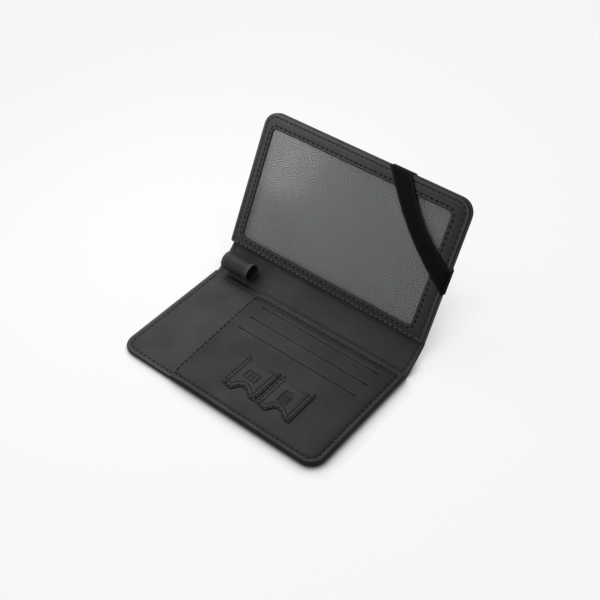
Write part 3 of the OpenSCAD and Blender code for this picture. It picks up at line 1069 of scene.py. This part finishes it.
across = lines(0, 1, 0.05, STRAP_ROWS, STRAP_ROWS)
loops = np.array([strap_path(STRAP_IN + t * (STRAP_OUT - STRAP_IN)) for t in across])
strap = cut_grid("elastic_strap", np.arange(loops.shape[1], dtype=float),
                 np.arange(len(across), dtype=float))
spot = np.rint(points_of(strap)).astype(int)
set_points(strap, loops[spot[:, 1], spot[:, 0]])
note(strap, "across", across[spot[:, 1]])
bpy.ops.object.mode_set(mode="EDIT")
close_seams()
share = np.empty(len(strap.data.vertices), np.float32)
strap.data.attributes["across"].data.foreach_get("value", share)
rim = np.minimum(share, 1 - share)
ribs = 0.05 * (1 - smooth(0.06, 0.12, rim)) - 0.12 * crest(rim, SELVAGE, 0.016) - 2.5 * rolled(rim, 0.04)
outward = np.array([v.normal for v in strap.data.vertices])
set_points(strap, points_of(strap) + outward * ribs[:, None])
thicken(strap, STRAP_T)
print("the strap is", round((STRAP_OUT - STRAP_IN) / math.sqrt(2), 1), "mm wide")

# %% [markdown]
# The elastic's finish is a weave: cords run along the strap, and the weft crosses them. The cords
# follow the number "across" that the strap keeps, so they go round the corners with it, and the
# line beside the selvage is a little paler.

# %% Elastic finish
CORDS, WEFT_TURN = 14, math.radians(45)
SELVAGE_LINE = 0.022


def elastic():
    finish, node, feed, where = new_finish("elastic")
    share = node("ShaderNodeAttribute", attribute_name="across").outputs["Fac"]
    cords = maths(node, "COSINE", maths(node, "MULTIPLY", share, 2 * math.pi * CORDS))
    line = maths(node, "COMPARE", maths(node, "PINGPONG", share, 0.5), SELVAGE, SELVAGE_LINE)
    turned = node("ShaderNodeMapping", {"Vector": where, "Rotation": (0, 0, WEFT_TURN)})
    weft = waves(node, turned.outputs["Vector"], 420.0, "X", 0.6)
    weave = maths(node, "MULTIPLY_ADD", cords, 0.35, weft)
    tone = two_tones(node, ramp(node, weave, -0.2, 1.2, 0, 1),
                     (0.0036, 0.0038, 0.004), (0.0085, 0.0088, 0.009))
    fuzz = noise(node, where, 2600.0)
    feed({"Base Color": two_tones(node, line, tone, (0.02, 0.02, 0.021)),
          "Roughness": ramp(node, fuzz, 0.3, 0.7, 0.78, 0.95),
          "Normal": raised(node, weave, 0.6, 0.0001), "Specular IOR Level": 0.05})
    return finish


put(strap, "front", elastic(), STRAP_SOFT_BELOW)
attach(strap, "band")
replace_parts(strap, "elastic_band")

# %% [markdown]
# The seams are sewn with black thread. One stitch is modelled once, as a small round thread that
# rises from its hole and goes down into the next one, and a copy of it is laid at every step of
# each seam. Copies are joined into one piece for each seam.

# %% One stitch
def model_stitch():
    """A stitch 1 long, 1 wide and 1 high, along X."""
    stitch = add("stitch", bpy.ops.mesh.primitive_cylinder_add, vertices=6, radius=0.5, depth=1,
                 rotation=(0, math.pi / 2, 0))
    bpy.ops.object.transform_apply(location=False, rotation=True, scale=False)
    bpy.ops.object.mode_set(mode="EDIT")
    for place in (-0.32, -0.12, 0.12, 0.32):
        bpy.ops.mesh.select_all(action="SELECT")
        bpy.ops.mesh.bisect(plane_co=(place, 0, 0), plane_no=(1, 0, 0))
    bpy.ops.object.mode_set(mode="OBJECT")
    at = points_of(stitch)
    taper = np.sqrt(np.clip(1 - (2 * at[:, 0]) ** 2 * 0.9, 0.02, 1))
    at[:, 1] *= taper
    at[:, 2] = at[:, 2] * taper - 0.9 * (2 * np.abs(at[:, 0])) ** 2.5
    set_points(stitch, at)
    bpy.ops.object.shade_smooth()
    return stitch


def thread():
    finish, node, feed, where = new_finish("thread")
    twist = waves(node, where, 900.0, "DIAGONAL", 1.5)
    feed({"Base Color": two_tones(node, twist, (0.003, 0.003, 0.0035), (0.007, 0.007, 0.008)),
          "Roughness": ramp(node, twist, 0, 1, 0.8, 0.65),
          "Normal": raised(node, twist, 0.5, 0.00006), "Specular IOR Level": 0.05})
    return finish


STITCH, THREAD = model_stitch(), thread()
print("one stitch has", len(STITCH.data.polygons), "faces")

# %% [markdown]
# A seam is a line of points with the leather's height and the direction it faces. Stitches are
# laid along it at an even pitch, each a little shorter than the pitch, so the needle holes show
# between them. How wide and high a stitch stands depends on how hard its seam was drawn in.

# %% Lay stitches along a seam
UP, DOWN = (0, 0, 1), (0, 0, -1)
PITCH, SHARE = 3.6, 0.64
THREAD_LIFT = 0.14
STITCH_SIZES = {
    "plain": (1.05, 0.60), "outer": (1.05, 0.26), "lining": (0.62, 0.34), "panel": (0.52, 0.30),
    "panel_right": (0.85, 0.48), "mouth": (1.35, 0.70), "patch": (1.20, 0.55), "tack": (0.36, 0.26),
    "frame": (0.66, 0.38), "spine": (0.72, 0.40), "ring": (1.15, 0.65)}


def walk(path, pitch):
    """Places along a line of points at an even pitch, with their directions and the step."""
    run = np.concatenate([[0], np.cumsum(np.linalg.norm(np.diff(path, axis=0), axis=1))])
    count = max(1, int(round(run[-1] / pitch)))
    where = (np.arange(count) + 0.5) * run[-1] / count

    def at(s):
        return np.stack([np.interp(s, run, path[:, k]) for k in range(3)], 1)

    ahead = at(where + 0.3 * pitch) - at(where - 0.3 * pitch)
    return at(where), ahead / np.linalg.norm(ahead, axis=1)[:, None], run[-1] / count


def lay_stitch(spot, way, facing, length, width, height):
    across = np.cross(facing, way)
    across /= np.linalg.norm(across)
    turn = Matrix(np.column_stack([way * length, across * width,
                                   np.cross(way, across) * height]).tolist())
    copy = STITCH.copy()
    copy.data = STITCH.data.copy()
    copy.data.transform(Matrix.Translation(spot.tolist()) @ turn.to_4x4())
    bpy.context.scene.collection.objects.link(copy)
    return copy


def sew(name, seams, body, pitch=PITCH, share=SHARE):
    """Lays stitches along each seam, given as a path, the side it faces and the stitch's kind."""
    copies = []
    for path, facing, kind in seams:
        spots, ahead, step = walk(path, pitch)
        copies += [lay_stitch(spot, way, facing, step * share, *STITCH_SIZES[kind])
                   for spot, way in zip(spots, ahead)]
    pick(copies[0])
    for copy in copies:
        copy.select_set(True)
    bpy.ops.object.join()
    piece = bpy.context.object
    piece.name = piece.data.name = name
    piece.data.transform(PLACES[body])
    dress(piece, THREAD)
    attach(piece, body)
    print(name, len(copies), "stitches")
    return piece


stitch_l = PITCH * SHARE
print("stitches are", round(stitch_l, 1), "mm long, with", round(PITCH - stitch_l, 1), "mm between")

# %% [markdown]
# The border seam of the card leaf goes through all its layers, so it shows on both faces: inside
# on the lining and the card panel, and outside in the pressed line of the outer leather, where
# the stitches lie deep enough for the leaf to rest flat. The heights come from the same functions
# that formed the leather.

# %% Seams of the card leaf
OUTER_ROW_Z = 0.16
LINING_ROW_Z = LINING_TOP - LINING_SINK + THREAD_LIFT


def leaf_seam(inset, depth, steps=14):
    """The border seam's line on three sides of a leaf, from left to right."""
    r = CORNER_R - inset
    turn = np.linspace(0, math.pi / 2, steps)
    left = np.stack([inset + r - r * np.cos(turn), inset + r - r * np.sin(turn)], 1)
    right = np.stack([LEAF_W - left[::-1, 0], left[::-1, 1]], 1)
    return np.concatenate([[(inset, depth)], left, right, [(LEAF_W - inset, depth)]])


def dense(line, step=0.6):
    """The same line with points close together."""
    parts = [np.linspace(a, b, max(2, int(np.linalg.norm(b - a) / step)))[:-1]
             for a, b in zip(line[:-1], line[1:])]
    return np.concatenate(parts + [line[-1:]])


def panel_row(path):
    return np.column_stack([path, panel_top(path[:, 0], path[:, 1]) + THREAD_LIFT])


far_y = PANEL_D - CARD_SEAM
border = dense(leaf_seam(CARD_SEAM, far_y))
on_panel = border[:, 0] > mouth(border[:, 1]) + 0.4
right_side = border[:, 0] > LEAF_W - CORNER_R
far_panel = dense(np.array([(LEAF_W - CARD_SEAM, far_y), (MOUTH_FAR + 3.0, far_y)]))
far_lining = np.array([(MOUTH_FAR - 1.0, far_y), (CARD_SEAM + 2.5, far_y)])
card_edge = sew("card_edge_stitches", [
    (level_row(border[~on_panel], LINING_ROW_Z), UP, "lining"),
    (panel_row(border[on_panel & ~right_side]), UP, "panel"),
    (panel_row(border[right_side]), UP, "panel_right"),
    (panel_row(far_panel), UP, "plain"),
    (level_row(far_lining, LINING_ROW_Z), UP, "plain"),
    (level_row(border, OUTER_ROW_Z), DOWN, "outer")], "back")
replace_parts(card_edge, "back_edge_thread")

mouth_y = np.arange(CARD_SEAM + 1.5, far_y - 1.5, 0.6)
mouth_row = panel_row(np.column_stack([mouth(mouth_y) + MOUTH_SEAM, mouth_y]))
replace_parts(sew("mouth_stitches", [(mouth_row, UP, "mouth")], "back"), "mouth_thread")

# %% [markdown]
# Each patch is sewn down both sides, a little past its mouth, and along its wave. The row along
# the wave runs one millimetre inside the edge, so it is drawn by moving the wave's points along
# their normals. Three short stitches side by side tack each end of a slit.

# %% Seams of the patches and tacks of the slits
PATCH_ROW = 1.0
PATCH_PITCH = 3.5
PATCH_LIFT, OFF_PATCH_LIFT = 0.06, 0.1
SIDE_FROM, SIDE_PAST = 16.2, 2.4
TACK_OUT, TACK_IN, TACK_LIFT = 0.35, 0.35, 0.03
TACK_PITCH, TACK_SHARE = 2.4, 0.95


def patch_seams(side):
    slope = np.gradient(wave_y, wave_x)
    length = np.hypot(1, slope)
    wx, wy = wave_x - slope / length * PATCH_ROW, wave_y + PATCH_ROW / length
    inside = (wx > PATCH_ROW) & (wx < PATCH_W - PATCH_ROW)
    up = np.arange(SIDE_FROM, PATCH_HIGH + SIDE_PAST, 0.5)
    for x, y in ((wx[inside], wy[inside]), (np.full(len(up), PATCH_ROW), up),
                 (np.full(len(up), PATCH_W - PATCH_ROW), up)):
        on_patch = y < PATCH_HIGH - 0.4
        z = PANEL_TOP + np.where(on_patch, patch_top(side, x, y), OFF_PATCH_LIFT) + PATCH_LIFT
        yield np.column_stack([x + PATCH_X[side], y, z]), UP, "patch"


patch_stitches = sew("sim_stitches", [*patch_seams("left"), *patch_seams("right")], "back", PATCH_PITCH)
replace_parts(patch_stitches, "sim_thread")

tacks = []
for slit in SLIT_Y:
    for end in (SLIT_X0 - TACK_OUT, SLIT_X1 + TACK_OUT):
        for shift in (-TACK_OUT, 0.0, TACK_OUT):
            x, y = np.full(3, end + shift), slit + TACK_IN + TACK_PITCH / 2 * np.array([-1, 0, 1])
            tacks.append((np.column_stack([x, y, panel_top(x, y) + TACK_LIFT]), UP, "tack"))
slit_tacks = sew("slit_tack_stitches", tacks, "back", TACK_PITCH, TACK_SHARE)
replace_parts(slit_tacks, "slit_tacks")

# %% [markdown]
# On the window leaf one seam follows the outer edge and goes through to the outer leather, a
# second one follows the window, and a third one holds the hem along the open lower side. The
# border seam runs on over both ends of the spine, on the body of the spine itself.

# %% Seams of the window leaf and the spine
HEM_ROW_Z, FRAME_ROW_Z, RING_ROW_Z = 5.5, 5.34, 5.76
HEM_END, HEM_IN = 5.5, 1.5
SPINE_END = 1.8

edge_line = dense(leaf_seam(WINDOW_SEAM, WINDOW_D - FRAME_LOW - 1.4))
edge_line[:, 1] = WINDOW_D - edge_line[:, 1]
hem_line = np.array([(x, FRAME_LOW + HEM_IN) for x in (HEM_END, LEAF_W - HEM_END)])
window_edge = sew("window_edge_stitches", [
    (level_row(hem_line, HEM_ROW_Z), UP, "plain"),
    (level_row(edge_line, FRAME_ROW_Z), UP, "frame"),
    (level_row(edge_line, OUTER_ROW_Z), DOWN, "outer")], "front")
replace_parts(window_edge, "front_edge_thread")

y = np.linspace(SPINE_END, SPINE_D - SPINE_END, 30)
z = SPINE_FACE - LINING_SINK + THREAD_LIFT - spine_bow(np.minimum(y, SPINE_D - y))
sew("spine_end_stitches", [(np.column_stack([np.full(len(y), x), y, z]), UP, "spine")
                           for x in (SPINE_SEAM, LEAF_W - SPINE_SEAM)], "spine")

ring = window_loop(RING_SEAM, RING_ROW_Z)
ring = np.concatenate([ring, ring[:1]])
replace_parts(sew("window_stitches", [(ring, UP, "ring")], "front"), "window_thread")
bpy.data.objects.remove(STITCH)

# %% [markdown]
# Boards and pocket cloths stay as CAD made them, because their plain shapes are right. The grey
# board gets fibres, and the thin pocket cloth a plain weave of two crossed waves.

# %% Finishes of the inner layers
def grey_board():
    finish, node, feed, where = new_finish("grey_board")
    fibres = ramp(node, noise(node, where, 500.0, 6.0, 1.2), 0.3, 0.7, 0, 1)
    feed({"Base Color": two_tones(node, fibres, (0.18, 0.17, 0.155), (0.30, 0.285, 0.26)),
          "Roughness": 0.9})
    return finish


def pocket_cloth():
    finish, node, feed, where = new_finish("pocket_cloth")
    weave = maths(node, "MULTIPLY", waves(node, where, 480.0, "X"), waves(node, where, 480.0, "Y"))
    feed({"Base Color": two_tones(node, weave, (0.008, 0.008, 0.009), (0.022, 0.022, 0.024)),
          "Normal": raised(node, weave, 0.5, 0.00005), "Roughness": 0.85, "Specular IOR Level": 0.1})
    return finish


INNER_LAYERS = {
    "board": (grey_board(), ("back_board", "front_board")),
    "cloth": (pocket_cloth(), ("ticket_backing", "card_pocket_upper", "card_pocket_middle",
                               "card_pocket_lower")),
}
for finish, names in INNER_LAYERS.values():
    for name in names:
        paint(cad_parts[name], finish)
print("CAD nodes shown:", [n for n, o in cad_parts.items() if not o.hide_render])

# %% [markdown]
# The table is a plain pale sheet. The camera sees it mostly by its own pale tone, so that it stays
# even while the lamps fall off across it. The soft shadow in that tone comes from Ambient
# Occlusion: one short reach gives the dark line where the leaf lies on the table, on the side
# away from the light, and one long reach gives the shade below the leaning window leaf.

# %% Table
TABLE_SIZE, TABLE_Z = 40, -0.0003
OWN_TONE = 0.88
CONTACT_REACH, SHADE_REACH = 0.012, 0.10
AWAY_FROM_LIGHT, UNDER_LEAF = (-0.48, 0.38, 0.79), (0.25, -0.30, 0.92)


def seen(node):
    """1 for what the camera sees, also by reflection or through film."""
    path = node("ShaderNodeLightPath").outputs
    either = maths(node, "MAXIMUM", path["Is Camera Ray"], path["Is Glossy Ray"])
    return maths(node, "MAXIMUM", either, path["Is Transmission Ray"])


def open_sky(node, reach, facing, low, high, darkest):
    """How much of the sky on one side the table sees, out to a reach in metres."""
    side = node("ShaderNodeCombineXYZ", dict(zip("XYZ", facing))).outputs["Vector"]
    hidden = node("ShaderNodeAmbientOcclusion", {"Distance": reach, "Normal": side}, samples=8)
    return ramp(node, hidden.outputs["AO"], low, high, darkest, 1.0)


def pale_table():
    finish, node, feed, where = new_finish("pale_table")
    feed({"Base Color": two_tones(node, noise(node, where, 3.0), [0.925] * 3, [0.935] * 3),
          "Roughness": 0.9, "Specular IOR Level": 0.0})
    contact = open_sky(node, CONTACT_REACH, AWAY_FROM_LIGHT, 0.40, 0.86, 0.08)
    below_leaf = open_sky(node, SHADE_REACH, UNDER_LEAF, 0.48, 0.74, 0.40)
    glow = node("ShaderNodeEmission", {"Strength": maths(node, "MULTIPLY", contact, below_leaf)})
    tree = finish.node_tree
    mixed = node("ShaderNodeMixShader", {
        0: maths(node, "MULTIPLY", seen(node), OWN_TONE),
        1: tree.nodes["Principled BSDF"].outputs[0], 2: glow.outputs[0]})
    tree.links.new(mixed.outputs[0], tree.nodes["Material Output"].inputs["Surface"])
    return finish


table = add("table", bpy.ops.mesh.primitive_plane_add, size=TABLE_SIZE, location=(0, 0, TABLE_Z))
bpy.ops.object.transform_apply(location=True, rotation=False, scale=False)
paint(table, pale_table())
print("the table lies", round(-TABLE_Z / MM, 1), "mm below the leaf")

# %% [markdown]
# The world is an even, weak dome that looks pale to the camera. A soft lamp stands close above
# the left, so the light falls off to the right, a large one stands behind on the left, a weak
# one lights the front, and a small one is placed where the film mirrors it as a glare. Their sum
# is a plain level, at which a colour renders about as it is written.

# %% Light
DOME, PALE = 0.16, 0.90
world = bpy.data.worlds.new("studio")
bpy.context.scene.world = world
world.use_nodes = True
world_node = node_maker(world.node_tree)
join(world.node_tree, world.node_tree.nodes["Background"],
     {"Strength": ramp(world_node, seen(world_node), 0, 1, DOME, PALE), "Color": (1, 1, 1, 1)})


def soft_lamp(name, place, aim, size, power):
    lamp = bpy.data.objects.new(name, bpy.data.lights.new(name, "AREA"))
    bpy.context.scene.collection.objects.link(lamp)
    lamp.data.size, lamp.data.energy = size, power
    lamp.location = place
    lamp.visible_camera = False
    lamp.rotation_mode = "QUATERNION"
    lamp.rotation_quaternion = (Vector(aim) - Vector(place)).to_track_quat("-Z", "Y")
    print(name, power, "W")


soft_lamp("left_lamp", (-0.13, 0.05, 0.23), (0.0, 0.05, 0.03), 0.20, 0.47)
soft_lamp("far_lamp", (-0.30, 0.35, 0.50), (0.0, 0.04, 0.03), 0.34, 0.55)
soft_lamp("front_lamp", (-0.36, -0.62, 0.30), (0.0, 0.08, 0.05), 0.60, 0.4)
soft_lamp("film_lamp", (-0.51, -0.545, 0.253), (-0.06, 0.095, 0.085), 0.20, 0.50)

# %% [markdown]
# The camera was found by fitting the photograph's straight lines: it looks down from the right
# at 44 degrees, with a lens of 62 mm on a 36 mm frame.

# %% Camera
CAMERA_AZ, CAMERA_EL = math.radians(38.72), math.radians(44.19)
CAMERA_AIM = Vector((-2.82, 40.4, 20.0)) * MM
CAMERA_FAR = 631.68 * MM
FOCAL_PX, PICTURE_PX = 1031.67, 600
SENSOR_MM = 36.0
look = Vector((-math.sin(CAMERA_AZ) * math.cos(CAMERA_EL),
               math.cos(CAMERA_AZ) * math.cos(CAMERA_EL), -math.sin(CAMERA_EL)))
camera = bpy.data.objects.new("camera", bpy.data.cameras.new("camera"))
bpy.context.scene.collection.objects.link(camera)
camera.data.sensor_width = SENSOR_MM
camera.data.lens = FOCAL_PX / PICTURE_PX * SENSOR_MM
camera.data.clip_start, camera.data.clip_end = 0.01, 100.0
camera.location = CAMERA_AIM - look * CAMERA_FAR
camera.rotation_mode = "QUATERNION"
camera.rotation_quaternion = look.to_track_quat("-Z", "Y")
bpy.context.scene.camera = camera
bpy.context.scene.view_settings.view_transform = "Standard"
print("lens in mm:", round(camera.data.lens, 1))
